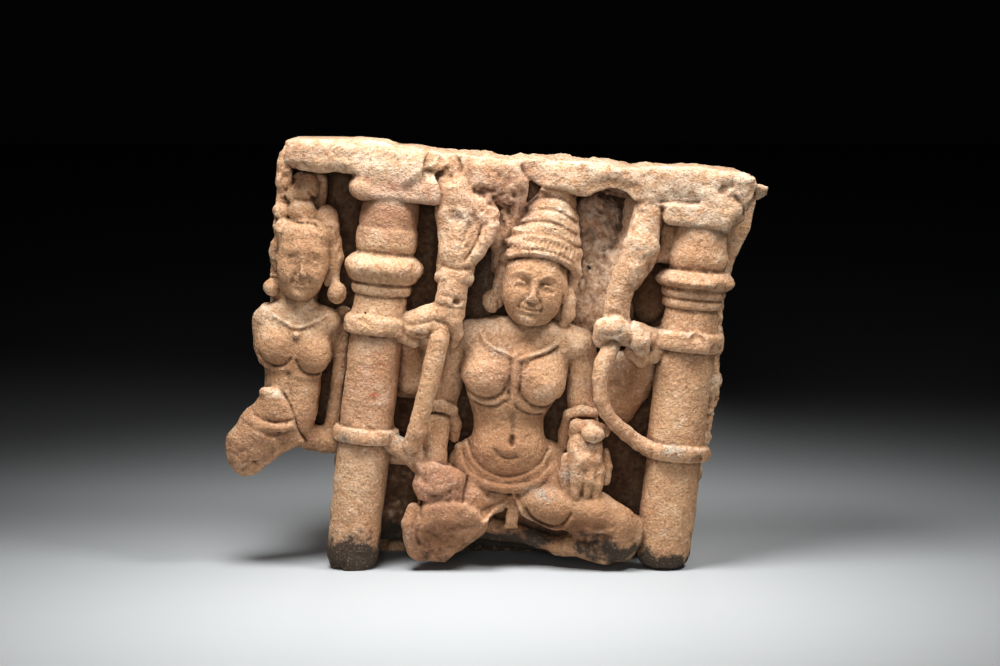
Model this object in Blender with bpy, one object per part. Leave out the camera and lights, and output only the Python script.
"""Sandstone relief fragment: a four-armed seated figure between two columns, with an attendant at the left.

The whole fragment is one carved block. Every form is modelled as a plain closed shape in the
carving's own upright frame, +X to the right, +Y into the stone, +Z up. Then all of them are fused
and worn smooth, and the stone is turned by the lean at which it stands on its broken ends.
Driving sizes are in metres. The carving is given in marks, the parts into which each height is divided.
"""

import math

import bmesh
import bpy
from mathutils import Matrix, Vector

# Block and architecture
SLAB_THICKNESS = 0.036
NICHE_DEPTH = 0.030  # from the columns' axes back to the wall behind the figures
TOP_HEIGHT = 0.261  # cornice top above the carving's base line
CORNICE_FRONT = 0.020  # how far the cornice stands in front of the columns' axes
LEFT_COLUMN_OUT = 0.101  # from the middle of the goddess to each column's axis
RIGHT_COLUMN_OUT = 0.0945
SHAFT_RADIUS = 0.0172
WEB_WIDTH = 0.012  # stone left standing between each column and the wall
LEAN = math.radians(5.5)
FLOOR_RISE = 0.001  # where the floor crosses the middle of the carving

# Figures, whose carving is given in marks of their own height
GODDESS_HEIGHT = 0.240
GODDESS_MARKS = 240
ATTENDANT_HEIGHT = 0.235
ATTENDANT_MARKS = 235
ATTENDANT_GAP = 0.048  # from the left column's axis to the middle of the attendant

# Marks of the architecture: the top height and the shaft's radius are divided into these
TOP_MARKS = 261
SHAFT_MARKS = 17.2

# Fineness of the fused skin
VOXEL = 0.0018
SKIN_TRIANGLES = 9600

WALL_Y = NICHE_DEPTH
BACK_Y = NICHE_DEPTH + SLAB_THICKNESS
RISE = TOP_HEIGHT / TOP_MARKS

# Height and radius, in marks, of each moulding from the broken foot to the capital
LEFT_COLUMN = [
    (-14, 9), (-9, 14), (-4, 16.6), (4, 17), (60, 16.6), (71, 16.8), (73, 19.6), (77, 20.6),
    (81, 19.6), (83, 17.3), (100, 17.4), (138, 17.2), (141, 18.4), (143, 20.6), (147, 21.2),
    (151, 20.6), (153, 18.6), (157, 17.2), (163, 16.6), (166, 17.5), (168, 20), (171, 20.4),
    (173.5, 18.8), (176, 20.5), (180, 23.5), (183, 25.5), (188, 25.5), (191, 23), (193, 18.6),
    (196, 19.6), (200, 20.2), (206, 20.2), (208, 18.6), (210, 17.6), (216, 17.8), (224, 18.4), (240, 18.4),
]
RIGHT_COLUMN = [
    (-8, 10), (6, 11), (10, 14), (14, 16.6), (22, 17.2), (60, 17.6), (78, 17.8), (80, 20), (84, 22.6),
    (88, 22.6), (90, 20), (92, 18.4), (147, 18.4), (149.5, 19), (151, 21.6), (156, 22.2), (160, 21.6),
    (162, 19.6), (164, 18.2), (170, 17.4), (175, 17.2), (177, 18.4), (180, 19), (182, 18.2),
    (184, 19.6), (188, 21), (190, 23), (192, 24.6), (195, 23.6), (199, 20.6), (200.5, 17.2),
    (203, 17.9), (207, 18.5), (211, 17.9), (213, 16.6), (218, 16.2), (226, 16.6), (240, 17),
]

# Broken outline of the slab as (x, height) in marks, anticlockwise from the foot at the left
SLAB_OUTLINE = [
    (-112, -20), (113, -20), (115, 53), (117, 88), (120, 97), (120, 125), (119.5, 187), (121.5, 203),
    (126.5, 213), (131.5, 227.5), (133, 244), (130, 259), (-167, 257), (-170, 200), (-170, 148),
    (-168, 111), (-165, 90), (-152, 70), (-139, 61), (-118, 56),
]

# Broken outline of the cornice as (x, height) in marks, clockwise from its lower left corner
CORNICE_OUTLINE = [
    (-166, 241), (-167, 256), (-163, 259), (-140, 260.5), (-115, 262), (-104, 262), (-97, 260), (-87, 260.5),
    (-78, 259), (-70, 258.5), (-55, 259.5), (-28, 258), (-8, 261), (5, 262.5), (14, 261), (36, 262),
    (52, 261), (70, 263), (90, 265.5), (105, 264.5), (120, 264), (127, 261), (129, 254), (121, 241),
]


class Carver:
    """Collects closed shapes in one mesh. Points are in marks, counted from origin."""

    def __init__(self, mesh, mark, origin=(0, 0, 0)):
        self.mesh = mesh
        self.mark = mark
        self.origin = Vector(origin)

    def place(self, point):
        return self.origin + Vector(point) * self.mark

    def matrix(self, centre, size, turn):
        """Puts a unit shape at centre with this size, turned in the plane of the panel by turn degrees."""
        return (
            Matrix.Translation(self.place(centre))
            @ Matrix.Rotation(math.radians(turn), 4, "Y")
            @ Matrix.Diagonal([s * self.mark for s in size] + [1.0])
        )

    def ball(self, centre, radii, turn=0.0):
        matrix = self.matrix(centre, radii, turn)
        bmesh.ops.create_icosphere(self.mesh, subdivisions=3, radius=1.0, matrix=matrix)

    def limb(self, *stations, flat=1.0):
        """Tapered round links between (x, y, z, radius) stations; flat squeezes them front to back."""
        for ends in zip(stations, stations[1:]):
            points = [self.place(p) for end in ends for p in sphere_points(end, flat)]
            hull = bmesh.ops.convex_hull(self.mesh, input=[self.mesh.verts.new(p) for p in points])
            inner = [v for v in hull["geom_interior"] if isinstance(v, bmesh.types.BMVert)]
            bmesh.ops.delete(self.mesh, geom=inner, context="VERTS")

    def block(self, low, high, turn=0.0, round_by=2.0):
        """A box between two corners, its edges rounded."""
        centre = [(a + b) / 2 for a, b in zip(low, high)]
        size = [b - a for a, b in zip(low, high)]
        made = bmesh.ops.create_cube(self.mesh, size=1.0, matrix=self.matrix(centre, size, turn))
        edges = list({edge for vert in made["verts"] for edge in vert.link_edges})
        offset = min(round_by, min(size) / 3) * self.mark
        bmesh.ops.bevel(self.mesh, geom=edges, offset=offset, segments=3, profile=0.5, affect="EDGES")

    def prism(self, outline, run):
        """A flat outline of points, extruded along run."""
        rim = [self.mesh.verts.new(self.place(point)) for point in outline]
        made = bmesh.ops.extrude_face_region(self.mesh, geom=[self.mesh.faces.new(rim)])["geom"]
        moved = [v for v in made if isinstance(v, bmesh.types.BMVert)]
        bmesh.ops.translate(self.mesh, verts=moved, vec=Vector(run) * self.mark)
        sides = {face for vert in rim + moved for face in vert.link_faces}
        bmesh.ops.recalc_face_normals(self.mesh, faces=list(sides))

    def turned(self, foot, head, profile, radius_mark, steps=32):
        """A profile of (height, radius) points turned about the line from foot to head."""
        foot, head = self.place(foot), self.place(head)
        along = (head - foot).normalized()
        out = Vector((0, 1, 0)).cross(along).normalized()
        rings = []
        for height, radius in profile:
            centre = foot + along * height * self.mark
            spokes = [Matrix.Rotation(math.tau * i / steps, 3, along) @ out for i in range(steps)]
            rings.append([self.mesh.verts.new(centre + s * radius * radius_mark) for s in spokes])
        faces = [self.mesh.faces.new(rings[0]), self.mesh.faces.new(rings[-1])]
        for low, high in zip(rings, rings[1:]):
            for i in range(steps):
                j = (i + 1) % steps
                faces.append(self.mesh.faces.new((low[i], low[j], high[j], high[i])))
        bmesh.ops.recalc_face_normals(self.mesh, faces=faces)


def sphere_points(station, flat, around=12, rows=7):
    """Points over the sphere of one station of a limb."""
    x, y, z, radius = station
    points = []
    for row in range(rows):
        lift = math.pi * (row / (rows - 1) - 0.5)
        count = 1 if row in (0, rows - 1) else around
        for step in range(count):
            turn = math.tau * step / count
            reach = radius * math.cos(lift)
            points.append(
                (x + reach * math.cos(turn), y + reach * flat * math.sin(turn), z + radius * math.sin(lift))
            )
    return points


def slab(stone):
    """The broken wall behind the figures, and what joins the carving to it."""
    wall, back = WALL_Y / RISE, (BACK_Y + SLAB_THICKNESS / 4) / RISE
    stone.prism([(x, wall, z) for x, z in SLAB_OUTLINE], (0, back - wall, 0))
    # rough stone left beside the attendant's head, and above the staff
    stone.block((-170, 6, 158), (-160, wall + 4, 250), round_by=4)
    stone.block((-50, -6, 228), (-14, wall + 4, 256), turn=-3, round_by=7)
    stone.block((-50, 12, 212), (-16, wall + 4, 240), round_by=6)
    # the seat, and the ledge that runs from the left column to the knee
    stone.block((-66, 6, 24), (62, wall + 4, 52), round_by=6)
    stone.limb((-98, 0, 76, 6), (-84, -6, 71, 6.5), (-70, -6, 64, 7), (-60, -6, 58, 8))
    stone.block((-92, 0, 60), (-62, wall + 4, 72), round_by=4)


def cornice(stone):
    """The top member with its broken edge, and the abacus over each column."""
    front, wall = -CORNICE_FRONT / RISE, WALL_Y / RISE
    deep = wall + 6
    stone.prism([(x, front + 3, z) for x, z in CORNICE_OUTLINE], (0, deep - front - 3, 0))
    # the worn swelling of its front face, as (x, depth, height, radius) of its stretches
    swelling = ((-157, 248, 9), (-135, 250, 10), (-112, 250, 11), (-88, 250, 10), (-45, 249, 9), (-28, 249, 8))
    stone.limb(*[(x, front + 7, z, r) for x, z, r in swelling], flat=0.75)
    stone.limb((2, front + 9, 251, 9), (36, front + 9, 256, 6), (62, front + 7, 252, 9), flat=0.8)
    stone.limb((62, front + 6, 255, 8), (95, front + 5, 257, 8), (118, front + 7, 255, 9), flat=0.8)
    stone.limb((114, 0, 253, 10), (126, 2, 256, 6), (134, 4, 256, 3.5))
    left, right = -LEFT_COLUMN_OUT / RISE, RIGHT_COLUMN_OUT / RISE
    stone.block((left - 22, front - 1, 225.5), (left + 34, deep, 243), round_by=7)
    stone.block((right - 21.5, front, 227), (right + 23, deep, 242), round_by=5)
    stone.limb((right + 17, 2, 233, 7), (right + 24, 4, 246, 9))


def column(stone, x_foot, x_head, profile):
    """A turned column, and the web behind it that joins it to the wall."""
    stone.turned((x_foot, 0, 0), (x_head, 0, TOP_MARKS), profile, SHAFT_RADIUS / SHAFT_MARKS)
    half = WEB_WIDTH / RISE / 2
    middle = (x_foot + x_head) / 2
    foot = profile[0][0] + 6
    stone.block((middle - half, 0, foot), (middle + half, WALL_Y / RISE + 4, 238), round_by=3)


def goddess_body(stone):
    """Trunk, hips and folded legs."""
    stone.block((-24, 10, 48), (6, WALL_Y / stone.mark + 4, 172), round_by=5)
    stone.limb((-36, 5, 142, 13), (-6, 4, 145, 12.5), (26, 5, 141, 12.5), flat=0.95)
    stone.ball((-10, 5, 130), (33, 16, 26))
    stone.limb((-11, 4, 116, 26), (-11, 3, 96, 21.5), (-10, 2, 76, 25), flat=0.68)
    stone.ball((-30, -7, 123), (15, 14.5, 15.5))
    stone.ball((7, -7, 121), (14, 14.5, 15))
    stone.ball((-10, -3, 76), (22, 15, 18))
    stone.ball((-10, 2, 62), (36, 18, 17))
    stone.limb((-5, 4, 148, 10), (-4, 2, 164, 9.5))
    # girdle across the hips
    girdle = ((-41, 2, 75), (-33, -8, 63), (-22, -14, 56), (-11, -17, 54), (1, -15, 56), (12, -9, 62), (20, 0, 71))
    stone.limb(*[(x, y, z, 4.5) for x, y, z in girdle])
    # thigh, knee and foot on each side
    stone.limb((-22, -1, 48, 15), (-46, -10, 28, 19), (-56, -12, 17, 14))
    stone.limb((-62, -10, 36, 6), (-66, -9, 18, 5))
    stone.limb((2, -1, 47, 14), (36, -10, 40, 16), (60, -11, 32, 16), (72, -5, 31, 8))
    stone.limb((62, -12, 23, 13), (38, -12, 22, 9), (24, -8, 20, 7))
    stone.limb((-10, -4, 44, 10), (-4, -10, 40, 6), (-3, -8, 29, 5))


def goddess_head(stone):
    """Head with a tiered conical headdress, hair and ear discs."""
    stone.block((-16, 8, 160), (14, WALL_Y / stone.mark + 4, 250), round_by=5)
    stone.ball((-4, -5, 182), (20.5, 19, 23))
    stone.ball((-4, -9, 168), (15.5, 13, 11))
    stone.limb((-3, -22, 184, 2.5), (-1, -25, 173, 4))
    tiers = ((-1, 206, 26.5), (0, 216, 23.5), (2, 225, 19.5), (4.5, 234, 16), (5, 242, 13))
    for x, z, radius in tiers:
        stone.ball((x, -2, z), (radius, radius * 0.9, 7.5))
    stone.ball((17, 0, 195), (8, 12, 12))
    stone.limb((-24, 4, 205, 7), (-27, 8, 190, 5))
    stone.ball((-31, -2, 170), (7.5, 6, 8))
    stone.limb((-26, 2, 176, 4), (-25, 2, 164, 4))
    stone.limb((17, -1, 178, 5), (18, -1, 164, 6))


def goddess_left_side(stone):
    """The two arms at the viewer's left, the staff with its broken three-pointed head, and what lies on the knee."""
    stone.limb((-38, 6, 143, 12), (-50, 4, 120, 10), (-52, 2, 100, 9.5), (-55, -6, 84, 8.5), (-55, -12, 66, 8.5))
    stone.limb((-60, -2, 99, 4.5), (-50, -6, 99, 4.5), (-43, -2, 95, 4.5), (-43, 2, 84, 4))
    stone.limb((-46, 12, 140, 10), (-72, 10, 122, 11), (-74, 9, 113, 9.5), flat=0.9)
    stone.limb((-76, 8, 130, 8), (-82, -4, 146, 6), (-66, -12, 142, 5))
    stone.ball((-52, -14, 52), (16, 14, 12))
    stone.ball((-44, -12, 56), (13, 12, 8))
    # fist round the staff
    stone.limb((-84, -6, 153, 8), (-70, -14, 157, 9), (-56, -16, 158, 11))
    stone.limb((-76, -18, 149, 6), (-62, -22, 151, 5.5), (-52, -22, 154, 6))
    # staff, collar and head
    stone.limb((-71, -18, 70, 5.6), (-58, -19, 147, 6))
    stone.limb((-53, -17, 158, 9), (-54, -16, 178, 9))
    stone.ball((-53.5, -17, 182.5), (11.5, 11, 5))
    stone.limb((-53, -17, 189, 9.5), (-52, -16, 205, 13), (-54, -12, 222, 15), (-56, -6, 234, 14), flat=0.75)
    stone.limb((-45, -18, 191, 5.5), (-36, -18, 207, 6), (-34, -16, 220, 6.5), (-37, -10, 232, 6))
    stone.limb((-50, -20, 200, 5), (-47, -18, 228, 5), (-45, -10, 244, 6))


def goddess_right_side(stone):
    """The two arms at the viewer's right, the broken object held up, the bent loop and the hand on the knee."""
    stone.limb((24, 6, 142, 12), (33, 4, 122, 11), (35, 2, 104, 10.5), (38, -6, 90, 10))
    stone.limb((22, 4, 88, 4.5), (23, -4, 98, 5), (33, -10, 104, 5), (45, -6, 104, 4.5))
    stone.limb((30, 12, 138, 10), (57, 9, 114, 9.5), (68, 3, 132, 9), (72, -2, 144, 8))
    stone.limb((78, -6, 155, 7), (66, -12, 154, 9), (50, -14, 156, 10))
    stone.ball((45, -18, 154), (8.5, 8, 8.5))
    stone.ball((67, -15, 151), (8, 9, 9))
    # broken object above the hand
    stone.limb((49, -13, 168, 9), (51, -14, 184, 8.5), (58, -14, 203, 11.5), (64, -12, 222, 11), (66, -8, 238, 11))
    # bent loop from the hand to the column
    loop = ((48, -17, 147), (43.5, -19, 131), (44.5, -19, 116), (52, -17, 103), (62, -13, 95), (75, -8, 88))
    stone.limb(*[(x, y, z, 5.4) for x, y, z in loop])
    # hand and what it holds over the knee
    stone.limb((38, -12, 94, 10), (38, -16, 80, 12), (39, -17, 66, 12))
    stone.ball((44, -20, 92), (8.5, 8, 7.5))
    stone.limb((33, -20, 68, 5), (32, -20, 53, 4.5))
    stone.limb((41, -20, 66, 5), (39, -20, 53, 4.5))
    stone.limb((49, -18, 76, 5), (50, -17, 62, 4.5), (47, -18, 51, 4.5))


def attendant(stone):
    """Standing attendant, broken off below the hips."""
    wall = WALL_Y / stone.mark
    stone.block((-12, 8, 66), (12, wall + 4, 232), round_by=5)
    # head, hair knot and ear discs
    stone.ball((0, -4, 184), (17, 16, 20))
    stone.ball((0, -8, 167), (11, 11, 9))
    stone.ball((-1, 0, 199), (20, 15, 12))
    stone.ball((-3, 2, 216), (10, 9, 10))
    stone.ball((-2, 4, 230), (8, 9, 9))
    stone.ball((-15, 4, 213), (7, 7, 7))
    stone.ball((10, 4, 212), (9, 9, 8))
    stone.limb((12, 0, 204, 9), (20, 1, 190, 6), (21, 2, 176, 4.5))
    stone.limb((-15, 0, 196, 6), (-18, 4, 176, 5))
    stone.ball((22, 0, 166), (6.5, 5, 7))
    stone.ball((-18, 1, 166), (5.5, 5, 6))
    # trunk
    stone.limb((0, 2, 162, 8.5), (0, 3, 148, 10))
    stone.limb((-18, 3, 147, 9.5), (0, 2, 148, 11), (19, 3, 146, 10))
    stone.ball((-1, 3, 134), (25, 14, 22))
    stone.ball((-13, -7, 127), (11, 11, 11))
    stone.ball((12, -7, 124), (12.5, 12, 12.5))
    stone.limb((0, 3, 118, 19), (1, 2, 102, 17.5), (1, 2, 86, 17), flat=0.8)
    stone.limb((-22, 4, 143, 7), (-22, 5, 126, 4))
    stone.limb((23, 6, 143, 8), (27, 10, 118, 5), (27, 12, 84, 5))
    # belly, hip and the broken thigh
    stone.ball((-8, -5, 92), (14, 11, 11))
    stone.limb((0, 0, 82, 16), (-17, -2, 71, 20), (-26, -2, 58, 13.5), flat=0.9)
    stone.limb((6, 4, 76, 10), (20, 8, 69, 7), (34, 8, 71, 8))


def openings(cut):
    """Hollows carved or broken into the fused block."""
    front = -CORNICE_FRONT / RISE
    deep = WALL_Y / RISE - 6
    # arched recess beside the headdress, and the crevice on its other side
    cut.ball((38, (front + deep) / 2 - 8, 233), (21.5, (deep - front) / 2 + 12, 18))
    cut.limb((-19, front, 257, 1.5), (-9, front, 243, 3), (-12, front, 237, 3.5))
    cut.limb((-9, front, 243, 3), (-9, 4, 241, 3))
    # scar in the cornice's front, and the dents above the right abacus
    cut.ball((-66, front - 1, 247), (13, 7, 10), turn=20)
    cut.limb((70, front - 2, 245, 4.5), (96, front - 2, 245, 4))
    # broken underside, clear of the floor except along the back
    wall = WALL_Y / RISE
    section = ((19, -40), (19, 6.5), (wall + 12, 5.5), (wall + 20, 4), (wall + 27, -14), (wall + 27, -40))
    cut.prism([(-150, y, z) for y, z in section], (300, 0, 0))
    # break across the knee
    cut.block((-74, -60, -4), (-14, -24, 38), turn=-8, round_by=4)


def build_mesh(carve_all):
    """Runs the given carving functions in one new mesh and returns it as mesh data."""
    mesh = bmesh.new()
    carve_all(mesh)
    data = bpy.data.meshes.new("forms")
    mesh.to_mesh(data)
    mesh.free()
    return data


def carve_stone(mesh):
    block = Carver(mesh, RISE)
    slab(block)
    cornice(block)
    left, right = LEFT_COLUMN_OUT / RISE, RIGHT_COLUMN_OUT / RISE
    column(block, -left - 0.5, -left + 5, LEFT_COLUMN)
    column(block, right - 1.2, right + 1.3, RIGHT_COLUMN)
    goddess = Carver(mesh, GODDESS_HEIGHT / GODDESS_MARKS)
    goddess_body(goddess)
    goddess_head(goddess)
    goddess_left_side(goddess)
    goddess_right_side(goddess)
    middle = (-LEFT_COLUMN_OUT - ATTENDANT_GAP, 0, 0)
    attendant(Carver(mesh, ATTENDANT_HEIGHT / ATTENDANT_MARKS, middle))


def carve_openings(mesh):
    openings(Carver(mesh, RISE))


def new_object(name, data):
    obj = bpy.data.objects.new(name, data)
    bpy.context.scene.collection.objects.link(obj)
    return obj


def helper(name, data):
    """An object that only cuts another one."""
    obj = new_object(name, data)
    obj.hide_render = True
    obj.display_type = "WIRE"
    return obj


def remesh(obj, name):
    modifier = obj.modifiers.new(name, "REMESH")
    modifier.mode = "VOXEL"
    modifier.voxel_size = VOXEL


def boolean(obj, name, operation, other):
    modifier = obj.modifiers.new(name, "BOOLEAN")
    modifier.operation = operation
    modifier.object = other


def evaluated_mesh(obj):
    graph = bpy.context.evaluated_depsgraph_get()
    return bpy.data.meshes.new_from_object(obj.evaluated_get(graph))


def quarry_block():
    """The stone never passes this block: its underside is the floor and its far side is the flat back."""
    mesh = bmesh.new()
    reach = 2 * TOP_HEIGHT
    size = (2 * reach, BACK_Y + reach, reach)
    centre = (0, (BACK_Y - reach) / 2, reach / 2)
    matrix = Matrix.Translation(centre) @ Matrix.Diagonal(size + (1.0,))
    bmesh.ops.create_cube(mesh, size=1.0, matrix=matrix)
    data = bpy.data.meshes.new("quarry_block")
    mesh.to_mesh(data)
    mesh.free()
    return helper("quarry_block", data)


def sandstone():
    material = bpy.data.materials.new("sandstone")
    material.use_nodes = True
    shader = material.node_tree.nodes["Principled BSDF"]
    shader.inputs["Base Color"].default_value = (0.48, 0.31, 0.19, 1.0)
    shader.inputs["Roughness"].default_value = 0.93
    shader.inputs["Metallic"].default_value = 0.0
    return material


def main():
    for obj in list(bpy.data.objects):
        bpy.data.objects.remove(obj)
    cutter = helper("openings", build_mesh(carve_openings))
    remesh(cutter, "fuse")
    stone = new_object("fused", build_mesh(carve_stone))
    remesh(stone, "fuse")
    boolean(stone, "carve openings", "DIFFERENCE", cutter)
    remesh(stone, "skin")
    wear = stone.modifiers.new("wear", "SMOOTH")
    wear.iterations = 2
    skin = evaluated_mesh(stone)
    skin.transform(Matrix.Translation((0, 0, -FLOOR_RISE)))
    skin.transform(Matrix.Rotation(LEAN, 4, "Y"))
    bpy.data.objects.remove(stone)
    bpy.data.objects.remove(cutter)

    panel = new_object("relief_panel", skin)
    thin = panel.modifiers.new("facets", "DECIMATE")
    thin.ratio = min(1.0, SKIN_TRIANGLES / (2 * len(skin.polygons)))
    block = quarry_block()
    boolean(panel, "floor and back", "INTERSECT", block)
    final = evaluated_mesh(panel)
    low = [min(v.co[i] for v in final.vertices) for i in range(3)]
    high = [max(v.co[i] for v in final.vertices) for i in range(3)]
    final.transform(Matrix.Translation((-(low[0] + high[0]) / 2, -(low[1] + high[1]) / 2, -low[2])))
    panel.modifiers.clear()
    panel.data = final
    final.name = "relief_panel"
    final.materials.clear()
    final.materials.append(sandstone())
    bpy.data.objects.remove(block)


main()
